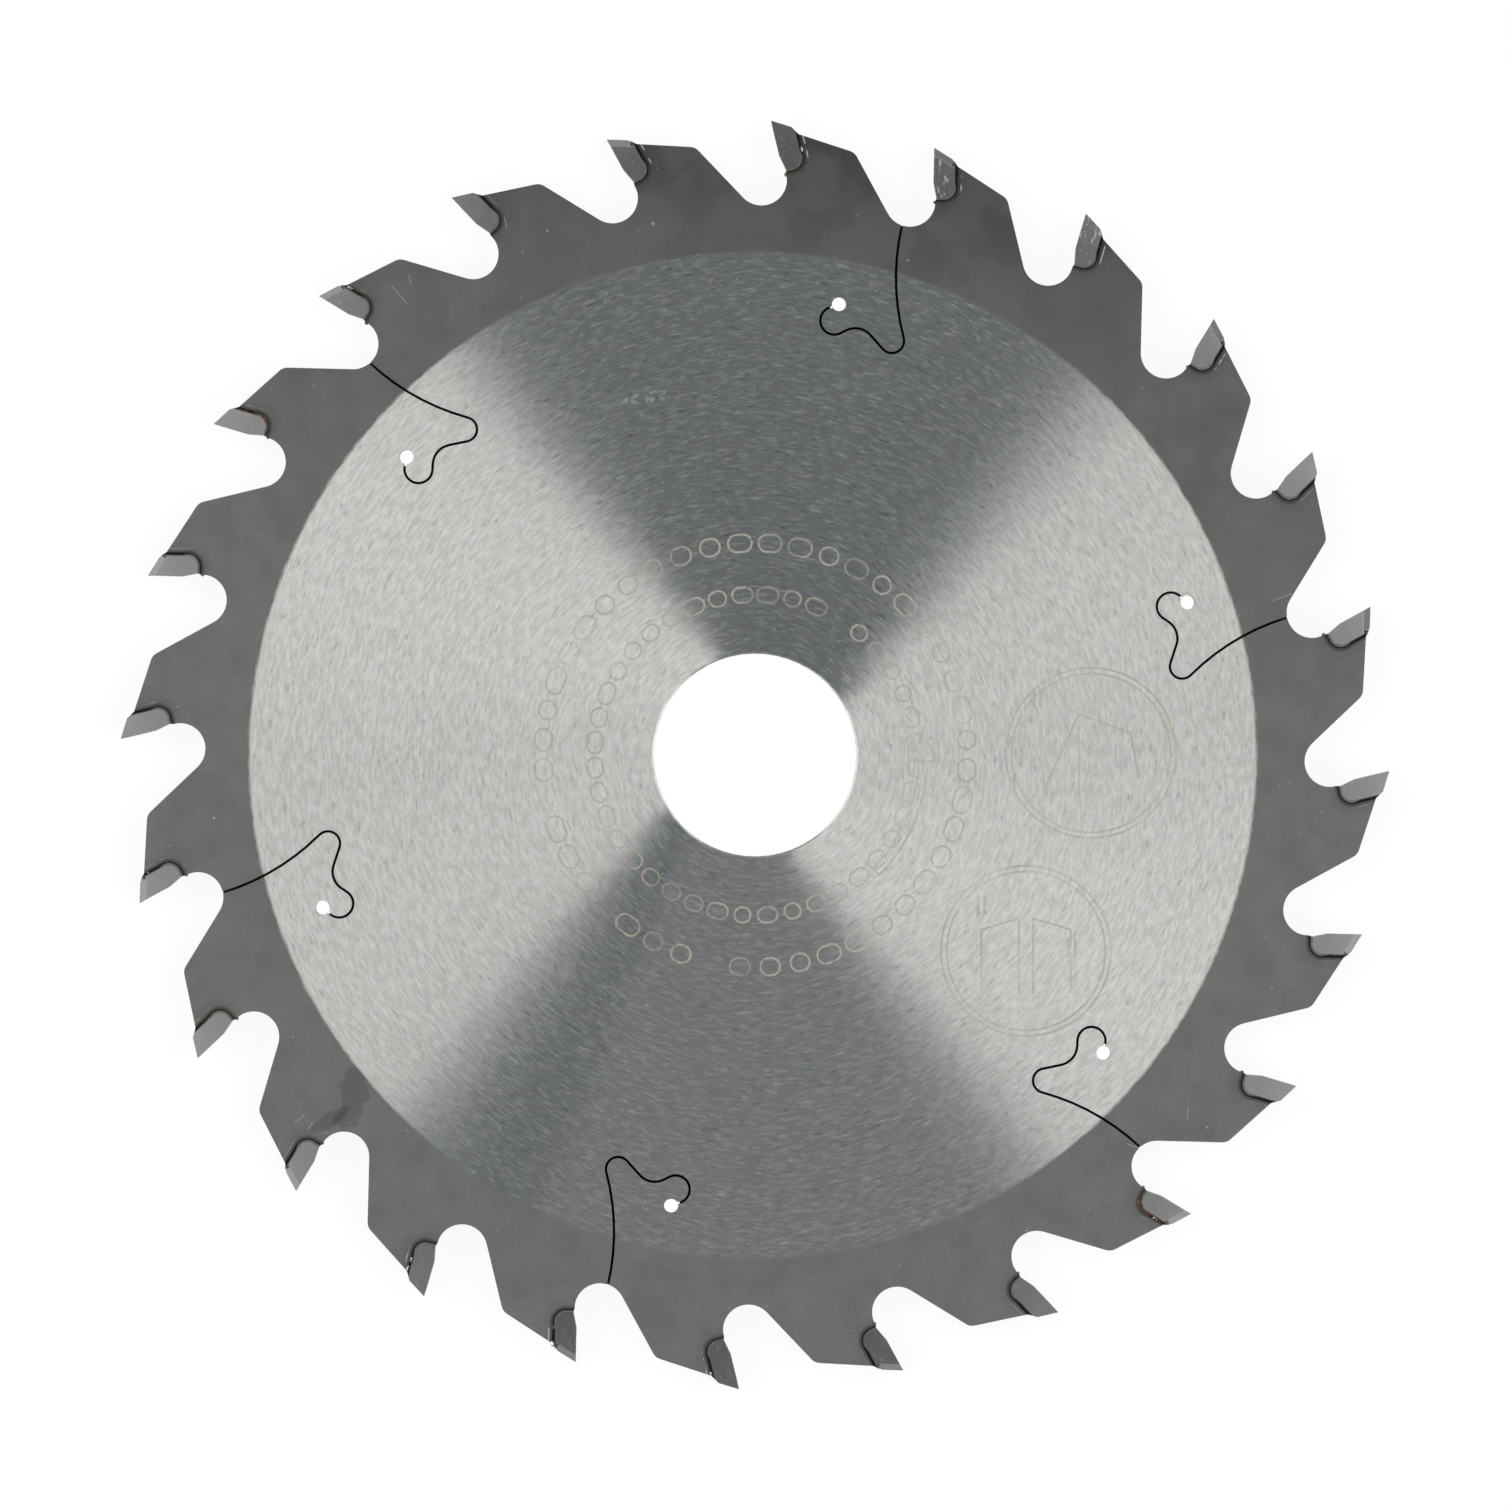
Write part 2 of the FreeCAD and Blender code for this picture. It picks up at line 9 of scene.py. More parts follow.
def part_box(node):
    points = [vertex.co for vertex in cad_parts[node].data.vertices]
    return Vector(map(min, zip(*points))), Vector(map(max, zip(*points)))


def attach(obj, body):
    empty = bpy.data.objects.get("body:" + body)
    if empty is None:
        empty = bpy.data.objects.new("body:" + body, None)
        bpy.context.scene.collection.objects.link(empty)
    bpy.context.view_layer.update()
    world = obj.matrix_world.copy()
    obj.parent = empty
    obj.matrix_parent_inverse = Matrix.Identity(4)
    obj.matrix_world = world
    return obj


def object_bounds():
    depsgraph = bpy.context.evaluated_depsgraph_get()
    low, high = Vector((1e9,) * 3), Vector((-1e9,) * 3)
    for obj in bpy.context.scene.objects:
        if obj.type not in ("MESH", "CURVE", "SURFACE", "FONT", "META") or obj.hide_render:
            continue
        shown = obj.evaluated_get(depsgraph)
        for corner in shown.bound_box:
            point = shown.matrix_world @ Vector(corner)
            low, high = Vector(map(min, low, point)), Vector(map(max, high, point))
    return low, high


# A carbide-tipped circular saw blade lying on a pale floor, seen from straight above.
# The model is in metres. The finishes are worked out in millimetres from each piece's own
# Object coordinates, with the bore's axis as their middle and +Z out of the marked face.

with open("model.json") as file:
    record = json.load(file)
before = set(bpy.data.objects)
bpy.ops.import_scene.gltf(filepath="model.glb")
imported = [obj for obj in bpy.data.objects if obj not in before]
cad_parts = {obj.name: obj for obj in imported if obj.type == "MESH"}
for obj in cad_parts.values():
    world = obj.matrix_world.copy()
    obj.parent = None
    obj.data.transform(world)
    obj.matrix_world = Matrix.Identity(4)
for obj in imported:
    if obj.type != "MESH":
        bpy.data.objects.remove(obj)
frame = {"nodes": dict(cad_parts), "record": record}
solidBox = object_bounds()
print("blade loaded:", len(frame["nodes"]), "pieces")


# A number that runs between shader nodes. Sums written with it add Math nodes.
class Wire:
    def __init__(self, tree, socket):
        self.tree = tree
        self.socket = socket

    def sum(self, operation, *terms):
        node = self.tree.nodes.new("ShaderNodeMath")
        node.operation = operation
        for plug, term in zip(node.inputs, terms):
            if isinstance(term, Wire):
                self.tree.links.new(term.socket, plug)
            else:
                plug.default_value = term
        return Wire(self.tree, node.outputs[0])

    def math(self, operation, *others):
        return self.sum(operation, self, *others)

    def __add__(self, other):
        return self.sum("ADD", self, other)

    def __sub__(self, other):
        return self.sum("SUBTRACT", self, other)

    def __rsub__(self, other):
        return self.sum("SUBTRACT", other, self)

    def __mul__(self, other):
        return self.sum("MULTIPLY", self, other)

    def __truediv__(self, other):
        return self.sum("DIVIDE", self, other)

    def __rtruediv__(self, other):
        return self.sum("DIVIDE", other, self)

    def __pow__(self, other):
        return self.sum("POWER", self, other)

    def __abs__(self):
        return self.sum("ABSOLUTE", self)

    __radd__ = __add__
    __rmul__ = __mul__


# How far a place is from the middle of its frame.
def distance(x, y):
    return (x * x + y * y) ** 0.5


# One material and the ways to add nodes to it.
class Finish:
    def __init__(self, name):
        self.material = bpy.data.materials.new(name)
        self.material.use_nodes = True
        self.tree = self.material.node_tree
        self.tree.nodes.clear()
        self.place = self.node("VectorMath", {"operation": "SCALE"},
                               {0: self.node("TexCoord", output="Object"), "Scale": 1000.0})
        self.x, self.y, self.z = [self.node("SeparateXYZ", {}, {0: self.place}, side)
                                  for side in "XYZ"]

    def node(self, kind, settings=None, values=None, output=0):
        node = self.tree.nodes.new("ShaderNode" + kind)
        for name, setting in (settings or {}).items():
            setattr(node, name, setting)
        for name, value in (values or {}).items():
            plug = node.inputs[name]
            if isinstance(value, Wire):
                self.tree.links.new(value.socket, plug)
            else:
                plug.default_value = value
        return Wire(self.tree, node.outputs[output]) if node.outputs else None

    # 0 below low, 1 above high and a soft step between them. With low above high it falls.
    def step(self, value, low, high):
        return self.node("MapRange", {"interpolation_type": "SMOOTHSTEP"},
                         {"Value": value, "From Min": low, "From Max": high})

    # 1 within half a width of the middle, with soft sides.
    def line(self, value, middle, width, soft):
        return self.step(abs(value - middle), width / 2 + soft, width / 2 - soft)

    def noise(self, vector, scale, detail):
        return self.node("TexNoise", {}, {"Vector": vector, "Scale": scale, "Detail": detail})

    # Spots of noise: its scale and detail, and the noise at which they start and are whole.
    def spots(self, scale, detail, low, high):
        return self.step(self.noise(self.place, scale, detail), low, high)

    # One random number for each value of the seed.
    def chance(self, seed):
        return self.node("TexWhiteNoise", {"noise_dimensions": "1D"}, {"W": seed})

    def vector(self, x, y, z=0.0):
        return self.node("CombineXYZ", {}, {"X": x, "Y": y, "Z": z})

    def blend(self, share, first, second, way="MIX"):
        return self.node("Mix", {"data_type": "RGBA", "blend_type": way},
                         {0: share, 6: first, 7: second}, 2)

    # The place in a frame that is turned about the bore.
    def turned(self, degrees):
        turn = math.radians(degrees)
        return (self.x * math.cos(turn) + self.y * math.sin(turn),
                self.y * math.cos(turn) - self.x * math.sin(turn))

    # How much the surface faces up or down, from 0 to 1.
    def facing(self):
        normal = self.node("NewGeometry", output="Normal")
        return abs(self.node("SeparateXYZ", {}, {0: normal}, "Z"))

    # 1 where the number is one of the teeth.
    def anyOf(self, number, teeth):
        return sum([number.math("COMPARE", tooth, 0.5) for tooth in teeth])

    def either(self, *masks):
        most = masks[0]
        for mask in masks[1:]:
            most = most.math("MAXIMUM", mask)
        return most

    def metal(self, colour, roughness, settings=None, height=None, depth=0.0):
        values = {"Base Color": colour, "Roughness": roughness, "Metallic": 1.0, **(settings or {})}
        if height is not None:
            values["Normal"] = self.node("Bump", {}, {"Strength": 1.0, "Distance": depth,
                                                      "Height": height})
        return self.node("BsdfPrincipled", {}, values)

    def layer(self, share, first, second):
        return self.node("MixShader", {}, {0: share, 1: first, 2: second})

    def done(self, shader):
        self.node("OutputMaterial", {}, {"Surface": shader})
        return self.material


# A grey as it looks on a screen, from 0 to 255, with a tint over it.
def grey(level, tint=(1.0, 1.0, 1.0)):
    linear = (level / 255) ** 2.2
    return (*[linear * part for part in tint], 1.0)


# The teeth as the finishes need them, in millimetres and degrees.
tooth = {
    "count": 24,
    "reach": 62.5,                   # from the bore's axis to the cutting edges
    "firstTurn": -0.803,             # of the first cutting edge, anticlockwise from +Y
    "hook": 15.0,
    "cellStart": -12.0,              # a tooth's cell starts behind its heel
    "seatCorner": (1.0, -4.0),
    "seatRadius": 1.35,
    "seatFoot": (-3.2, -4.2),        # heights between which the seat turns into its foot
    "topSlope": 30.0,
}


# Folds the blade onto one tooth. Gives the place in that tooth's rake frame, whose origin is at
# the cutting edge with Y up the rake face and X towards the tooth's back, and the tooth's number.
def foldTeeth(finish):
    pitch = 2 * math.pi / tooth["count"]
    start = math.radians(tooth["cellStart"])
    turn = (0 - finish.x).math("ARCTAN2", finish.y) - math.radians(tooth["firstTurn"]) - start
    number = (turn / pitch).math("FLOOR")
    turn = turn - number * pitch + start
    reach = distance(finish.x, finish.y)
    across = 0 - reach * turn.math("SINE")
    up = reach * turn.math("COSINE") - tooth["reach"]
    hook = math.radians(tooth["hook"])
    rakeX = across * math.cos(hook) + up * math.sin(hook)
    rakeY = up * math.cos(hook) - across * math.sin(hook)
    number = number.math("WRAP", tooth["count"], 0)
    return rakeX, rakeY, number


# How far outside the tip's seat a place on the plate is.
def seatDistance(rakeX, rakeY):
    cornerX, cornerY = tooth["seatCorner"]
    outX = (rakeX - cornerX).math("MAXIMUM", 0.0)
    outY = (cornerY - rakeY).math("MAXIMUM", 0.0)
    return distance(outX, outY) - tooth["seatRadius"]


# The plate's steel, in millimetres and degrees. Steps are the values at which something starts
# and is whole. Spots are a noise's scale and detail and its step. Turns are from +X.
plateLooks = {
    "markedSteps": (0.5, 0.8),       # of height, up to the face with the marks
    "wallSteps": (0.6, 0.4),         # of how much a cut edge faces up or down
    "cloudNoise": (0.35, 2.0),       # scale and detail
    "grainNoise": (4.0, 2.0),
    "toneSteps": (0.3, 0.7),         # of the noises, between a finish's two colours

    "discRadius": 49.62,             # the edge of the disc that was ground bright
    "discMiddle": (-0.2, -0.1),
    "discEdgeSoft": 0.2,
    "discEdgeWander": 0.5,
    "discColours": ((0.605, 0.605, 0.59, 1), (0.76, 0.76, 0.745, 1)),
    "discTints": ((0.985, 1.0, 0.99, 1), (1.0, 0.995, 0.975, 1)),
    "tintSpots": (0.8, 2.0, 0.35, 0.65),
    "discGrain": 0.25,               # the grain's share in the tone
    "discRoughness": 0.33,
    "discRoughnessSpread": 0.1,
    # the colour towards which the darker pits and the painted shade are blended
    "shadeColour": (0.0, 0.03, 0.07, 1),
    "paintedDiscShades": ((100.65, 47.0, 33.0, 0.28),      # painted shade where the disc's reflection is dark: the middle's turn, the half width, the even part's half width and how much darker
                   (280.65, 47.0, 33.0, 0.1),       # the half width, the even part's half width
                   (250.45, 13.0, 2.0, 0.19)),      # and how much darker
    "markTurns": (0.248, 0.2675, 0.287),    # of the grinding marks against the radius, in whole
                                            # turns, near the edge, further in and near the bore
    "spiralReaches": (11.0, 47.0),   # where the marks turn most and least
    "spiralAngle": 14.0,             # between those two
    "streaks": (1.15, 0.28, 2.0, 0.0),      # grinding marks: length, width, detail and shift
    "scratches": (1.5, 0.25, 1.0, 40.0),    # brighter ones
    "scratchSteps": (0.62, 0.74),
    "pits": (1.3, 0.3, 1.0, 80.0),          # and darker ones
    "pitSteps": (0.36, 0.26),
    "pitShade": 0.2,
    "speckSpots": (3.1, 1.0, 0.74, 0.80),
    "crossedColour": (0.85, 0.85, 0.84, 1),         # of what was ground across the other marks
    "crossedRoughness": 0.45,
    "crossedSteps": (0.5, 0.7),      # of the streaks
    "crossedShares": (0.085, 0.17, 0.45, 0.3),      # of streaks, scratches, specks and the scuff

    "rimColours": (grey(123, (0.985, 1.0, 0.96)), grey(131, (0.985, 1.0, 0.955))),
    "rimGrain": 0.2,
    "rimRoughness": 0.55,
    "rimRoughnessSpread": 0.06,
    "black": (0.0, 0.0, 0.0, 1),
    "paintedShadeTurn": 95.65,              # the way in which painted shade makes the rim darker
    "paintedShadeWander": 9.0,
    "rimPaintedShades": ((0, 46, 0.2), (42, 62, 0.33)),    # steps of painted shade that way, and how much darker
    "mottleSpots": (0.16, 3.0, 0.42, 0.6),
    "mottleShares": (0.85, 0.3),     # of the painted shade everywhere, and more in the spots

    "seatColour": grey(62, (1.0, 0.97, 0.92)),      # beside a seat, where the plate is darker
    "nearSeat": (0.45, -0.1, 0.75),  # steps outside the seat and how dark
    "roundSeat": (1.5, 0.3, 0.12),
    "footSpread": 0.1,               # how much further the dark reaches at the seat's foot
    "solderColour": grey(235),
    "solderLine": (0.36, 0.1, 0.06),         # its middle outside the seat, width and soft sides
    "solderEnd": (-4.6, -4.0),
    "solderSpots": (0.9, 2.0, 0.42, 0.54),
    "solderShares": (0.25, 0.75),    # on every tooth, and more on these
    "solderedTeeth": (0, 1, 2, 11, 12, 13, 22, 23),
    "landLine": (-1.69, 2.83, -31.7),        # height, place and slope of a tooth's land
    "landDepth": (-0.3, -0.1),
    "landStart": (2.6, 3.0),
    "landSpots": (0.7, 3.0, 0.5, 0.6),
    "dustSpots": (1.7, 1.0, 0.78, 0.81),
    "brightShares": (0.7, 0.4, 0.32, 0.2),   # of solder, worn lands, scratches and dust
    "wallColour": grey(120, (1.02, 1.0, 0.97)),     # of the cut edges, seen from the side
    "slotColour": grey(45, (1.04, 1.0, 0.94)),      # of the slots' burnt walls
    "slotStart": (11.0, 11.2),       # steps of reach between which a cut edge is a slot's
    "slotEnd": (54.2, 54.0),
}

# Wear on the marked face, in millimetres, in the same turned frame as the marks below. An oval
# is its middle, half length, half width and turn.
wear = {
    "scratches": ((42.56, -35.99, 42.70, -34.67), (-24.45, 51.86, -24.69, 52.98),
                  (-45.4, -36.3, -44.4, -35.4), (-44.1, -37.0, -43.6, -36.2),
                  (-34.3, 44.5, -35.8, 46.2), (-33.9, 46.3, -34.1, 47.3),
                  (36.6, -38.3, 38.4, -38.9), (51.0, 15.2, 52.9, 15.9)),
    "scratchWidth": 0.07,
    "specks": ((-10.06, 52.36, 0.2), (-53.3, -6.2, 0.16),       # place and radius
               (44.54, -36.69, 0.14), (-20.46, 51.66, 0.14)),
    "speckEdge": (1.0, 0.6),
    "stains": ((-39.6, -34.0, 3.6, 1.5, 76.6), (-41.7, -35.8, 2.6, 0.7, 34.0)),
    "stainNoise": (0.5, 3.0),
    "stainRaggedness": 1.6,
    "stainEdge": (1.05, 0.75),
    "stainShare": 0.22,
    "scuff": (-11.0, 35.3, 3.9, 0.9, 5.0),
    "scuffEdge": (1.0, 0.5),
    "scuffSpots": (1.3, 3.0, 0.48, 0.62),
}

# The marks etched into the upper face, in millimetres and degrees. Their own X and Y stand
# turned from the blade's by the same angle as the camera.
marks = {
    "turn": 15.65,
    "lineWidth": 0.19,
    "lineSoft": 0.06,
    "endSoft": 0.05,                 # of the straight lines
    "colour": grey(186, (1.08, 1.0, 0.86)),
    "roughness": 0.6,
    "strength": 0.9,
    "breakSpots": (2.2, 3.0, 0.25, 0.5),
    "fadeSpots": (0.15, 1.0, 0.38, 0.6),
    "fadedShare": 0.45,              # of the marks where they have faded
    "barRings": ((20.9, 1.7, 44, 0.95), (15.8, 1.5, 40, 0.7)),  # radius, height, count, stretch
    "barGaps": 0.06,                 # the share of the bars that is left out
    "barSeed": 1.3,
    "arrowRadius": 16.6,
    "arrowTurns": (-44.0, -2.0, 7.0),       # of its tail, its neck and its point
    "arrowHalfWidths": (0.45, 1.35),
    "badgeRadius": 8.1,
    "badgeGap": 0.28,                # half the gap between a badge's two rings
    "sideBadge": (33.1, 0.2),        # holds the outline of a tooth from the side
    "sideLines": ((-4.6, -3.6, -1.2, 3.8), (-1.2, 3.8, 3.9, 2.0),
                  (3.9, 2.0, 4.7, -2.4), (-1.2, 2.6, -1.2, -4.2)),
    "frontBadge": (26.7, -19.3),     # holds two teeth from the front, mirror images
    "frontLines": ((0.7, -4.2, 0.7, 3.2), (0.7, 3.2, 4.4, 2.1), (4.4, 2.1, 4.4, -3.6)),
    "ticks": ((27.8, 5.7), (22.3, -14.8), (31.2, -19.0)),       # short pairs beside the teeth
    "tickSize": (0.32, 0.3, 1.9),    # half gap, width and length
}


# A thin straight line between two points.
def straightLine(finish, x, y, ends, width):
    soft = marks["endSoft"]
    startX, startY, endX, endY = ends
    length = math.dist((startX, startY), (endX, endY))
    stepX = (endX - startX) / length
    stepY = (endY - startY) / length
    offX = x - startX
    offY = y - startY
    across = offX * stepY - offY * stepX
    along = offX * stepX + offY * stepY
    return (finish.line(across, 0.0, width, soft)
            * finish.line(along, length / 2, length, soft))


# How far a place is from the middle of an oval, with 1 at its edge.
def ovalReach(x, y, oval):
    middleX, middleY, halfLength, halfWidth, degrees = oval
    turn = math.radians(degrees)
    offX = x - middleX
    offY = y - middleY
    along = (offX * math.cos(turn) + offY * math.sin(turn)) / halfLength
    across = (offY * math.cos(turn) - offX * math.sin(turn)) / halfWidth
    return distance(along, across)


# A ring of outlined bars with round ends, each stretched by chance and a few left out.
def barRing(finish, reach, around, ring):
    radius, height, count, stretch = ring
    pitch = 2 * math.pi / count
    number = (around / pitch).math("FLOOR")
    chance = finish.chance(number * marks["barSeed"] + radius)
    cell = around - (number + 0.5) * pitch
    along = (abs(cell) * radius - chance * stretch / 2).math("MAXIMUM", 0.0)
    outline = finish.line(distance(along, reach - radius), height / 2,
                          marks["lineWidth"], marks["lineSoft"])
    return outline * chance.math("GREATER_THAN", marks["barGaps"])


# The outline of an arrow that bends round the bore.
def bentArrow(finish, reach, around):
    radius = marks["arrowRadius"]
    tail, neck, point = [math.radians(degrees) * radius for degrees in marks["arrowTurns"]]
    shaftHalf, headHalf = marks["arrowHalfWidths"]
    along = around * radius
    across = abs(reach - radius)
    shaft = (across - shaftHalf).math("MAXIMUM",
                                      abs(along - (tail + neck) / 2) - (neck - tail) / 2)
    lean = math.atan2(headHalf, point - neck)
    head = ((across * math.cos(lean) + (along - point) * math.sin(lean))
            .math("MAXIMUM", neck - along))
    return finish.line(shaft.math("MINIMUM", head), 0.0, marks["lineWidth"], marks["lineSoft"])


# A double ring with straight lines in it, which can be mirrored.
def badge(finish, x, y, place, lines, mirrored):
    badgeX = x - place[0]
    badgeY = y - place[1]
    ring = distance(badgeX, badgeY) - marks["badgeRadius"]
    drawn = [finish.line(abs(ring), marks["badgeGap"], marks["lineWidth"], marks["lineSoft"])]
    if mirrored:
        badgeX = abs(badgeX)
    return drawn + [straightLine(finish, badgeX, badgeY, ends, marks["lineWidth"])
                    for ends in lines]


def etchedMarks(finish, reach):
    x, y = finish.turned(marks["turn"])
    around = y.math("ARCTAN2", x)
    drawn = [barRing(finish, reach, around, ring) for ring in marks["barRings"]]
    drawn.append(bentArrow(finish, reach, around))
    drawn += badge(finish, x, y, marks["sideBadge"], marks["sideLines"], False)
    drawn += badge(finish, x, y, marks["frontBadge"], marks["frontLines"], True)
    gap, width, length = marks["tickSize"]
    for tickX, tickY in marks["ticks"]:
        drawn.append(finish.line(abs(x - tickX), gap, width, marks["lineSoft"])
                     * finish.line(y - tickY, 0.0, length, marks["lineSoft"]))
    faded = marks["fadedShare"]
    breaks = (finish.spots(*marks["breakSpots"])
              * (faded + (1 - faded) * finish.spots(*marks["fadeSpots"])))
    return finish.either(*drawn) * breaks


# Noise drawn out along the circles round the bore.
def roundNoise(finish, reach, length, width, detail, shift):
    place = finish.vector(finish.x / length + shift, finish.y / length, reach / width)
    return finish.noise(place, 1.0, detail)


# The disc's steel, ground in circles, and a mask of where it is.
def groundDisc(finish, reach, grain, marked):
    looks = plateLooks
    streaks = roundNoise(finish, reach, *looks["streaks"])
    scratches = finish.step(roundNoise(finish, reach, *looks["scratches"]), *looks["scratchSteps"])
    pits = finish.step(roundNoise(finish, reach, *looks["pits"]), *looks["pitSteps"])

    middleX, middleY = looks["discMiddle"]
    edge = (distance(finish.x - middleX, finish.y - middleY)
            + (streaks - 0.5) * looks["discEdgeWander"])
    inside = finish.step(edge, looks["discRadius"] + looks["discEdgeSoft"],
                         looks["discRadius"] - looks["discEdgeSoft"])

    tone = streaks * (1 - looks["discGrain"]) + grain * looks["discGrain"]
    colour = finish.blend(finish.step(tone, *looks["toneSteps"]), *looks["discColours"])
    tint = finish.blend(finish.spots(*looks["tintSpots"]), *looks["discTints"])
    colour = finish.blend(1.0, colour, tint, "MULTIPLY")

    # The marks turn from the disc's edge to the bore, and the painted shade, which darkens the disc
    # where its reflection is dark, turns with them.
    most, least = looks["spiralReaches"]
    spiral = (most / reach - most / least) * (least / (least - most))
    around = finish.y.math("ARCTAN2", finish.x) + spiral * math.radians(looks["spiralAngle"])
    shade = pits * looks["pitShade"]
    for turn, halfWidth, evenPart, share in looks["paintedDiscShades"]:
        near = (around - math.radians(turn)).math("COSINE")
        shade = shade + finish.step(near, math.cos(math.radians(halfWidth)),
                                    math.cos(math.radians(evenPart))) * marked * share
    # blends in the darker pits and the painted shade
    colour = finish.blend(shade, colour, looks["shadeColour"])
    roughness = looks["discRoughness"] + (streaks - 0.5) * looks["discRoughnessSpread"]
    nearEdge, between, nearBore = [
        finish.metal(colour, roughness, {"Anisotropic": 1.0, "Anisotropic Rotation": turn})
        for turn in looks["markTurns"]]
    ground = finish.layer(spiral * 2, nearEdge, between)
    ground = finish.layer(spiral * 2 - 1, ground, nearBore)

    # Some of it was ground across, which shows brighter where the rest is dark.
    x, y = finish.turned(marks["turn"])
    scuff = (finish.step(ovalReach(x, y, wear["scuff"]), *wear["scuffEdge"]) * marked
             * finish.spots(*wear["scuffSpots"]))
    masks = (finish.step(streaks, *looks["crossedSteps"]), scratches,
             finish.spots(*looks["speckSpots"]), scuff)
    across = sum([mask * share for mask, share in zip(masks, looks["crossedShares"])])
    crossed = finish.metal(looks["crossedColour"], looks["crossedRoughness"])
    return inside, finish.layer(across, ground, crossed)


# How dark the rim is: painted shade that grows towards one side, mottled in spots, and two stain
# smudges.
def rimShadeAndSmudges(finish, x, y, clouds, marked):
    looks = plateLooks
    thatWay = finish.turned(looks["paintedShadeTurn"])[0] + (clouds - 0.5) * looks["paintedShadeWander"]
    everywhere, more = looks["mottleShares"]
    mottle = finish.spots(*looks["mottleSpots"]) * more + everywhere
    sideShade = sum([finish.step(thatWay, start, end) * share
                 for start, end, share in looks["rimPaintedShades"]]) * mottle
    ragged = (finish.noise(finish.place, *wear["stainNoise"]) - 0.5) * wear["stainRaggedness"]
    smudges = sum([finish.step(ovalReach(x, y, oval) + ragged, *wear["stainEdge"])
                   for oval in wear["stains"]])
    return sideShade + smudges * marked * wear["stainShare"]


# Where bare metal or solder shows bright on the rim.
def rimBright(finish, x, y, rakeX, rakeY, number, marked):
    looks = plateLooks
    everywhere, more = looks["solderShares"]
    solder = (finish.line(seatDistance(rakeX, rakeY), *looks["solderLine"])
              * finish.step(rakeY, *looks["solderEnd"])
              * (everywhere + more * finish.anyOf(number, looks["solderedTeeth"]))
              * finish.spots(*looks["solderSpots"]))

    landHeight, landPlace, landSlope = looks["landLine"]
    slope = math.radians(landSlope)
    land = (rakeY - landHeight) * math.cos(slope) - (rakeX - landPlace) * math.sin(slope)
    worn = (finish.step(land, *looks["landDepth"]) * finish.step(rakeX, *looks["landStart"])
            * finish.spots(*looks["landSpots"]))

    scratches = [straightLine(finish, x, y, ends, wear["scratchWidth"])
                 for ends in wear["scratches"]]
    specks = [finish.step(ovalReach(x, y, (speckX, speckY, size, size, 0.0)), *wear["speckEdge"])
              for speckX, speckY, size in wear["specks"]]
    bare = finish.either(*scratches, *specks) * marked
    masks = (solder, worn, bare, finish.spots(*looks["dustSpots"]))
    return finish.either(*[mask * share for mask, share in zip(masks, looks["brightShares"])])


# The rim's steel, left dull and stained, with painted shade towards one side, and darkened beside
# each seat.
def dullRim(finish, reach, grain, marked, wall):
    looks = plateLooks
    x, y = finish.turned(marks["turn"])
    clouds = finish.noise(finish.place, *looks["cloudNoise"])
    tone = clouds * (1 - looks["rimGrain"]) + grain * looks["rimGrain"]
    colour = finish.blend(finish.step(tone, *looks["toneSteps"]), *looks["rimColours"])
    # painted shade towards one side, and the two stain smudges
    colour = finish.blend(rimShadeAndSmudges(finish, x, y, clouds, marked), colour, looks["black"])

    rakeX, rakeY, number = foldTeeth(finish)
    seat = seatDistance(rakeX, rakeY)
    foot = finish.step(rakeY, *tooth["seatFoot"]) * looks["footSpread"]
    nearStart, nearWhole, nearShare = looks["nearSeat"]
    roundStart, roundWhole, roundShare = looks["roundSeat"]
    darkBesideSeat = finish.either(finish.step(seat - foot, nearStart, nearWhole) * nearShare,
                          finish.step(seat, roundStart, roundWhole) * roundShare)
    colour = finish.blend(darkBesideSeat, colour, looks["seatColour"])
    bright = rimBright(finish, x, y, rakeX, rakeY, number, marked)
    colour = finish.blend(bright, colour, looks["solderColour"])

    slots = finish.step(reach, *looks["slotEnd"]) * finish.step(reach, *looks["slotStart"])
    wallColour = finish.blend(slots, looks["wallColour"], looks["slotColour"])
    colour = finish.blend(wall, colour, wallColour)
    return finish.metal(colour, looks["rimRoughness"]
                        + (grain - 0.5) * looks["rimRoughnessSpread"])


def makePlateFinish():
    finish = Finish("groundSteel")
    reach = distance(finish.x, finish.y)
    grain = finish.noise(finish.place, *plateLooks["grainNoise"])
    marked = finish.step(finish.z, *plateLooks["markedSteps"])
    wall = finish.step(finish.facing(), *plateLooks["wallSteps"])
    disc, discSteel = groundDisc(finish, reach, grain, marked)
    rimSteel = dullRim(finish, reach, grain, marked, wall)
    face = finish.layer(disc * (1 - wall), rimSteel, discSteel)
    etched = finish.metal(marks["colour"], marks["roughness"])
    share = etchedMarks(finish, reach) * marked * marks["strength"]
    return finish.done(finish.layer(share, face, etched))


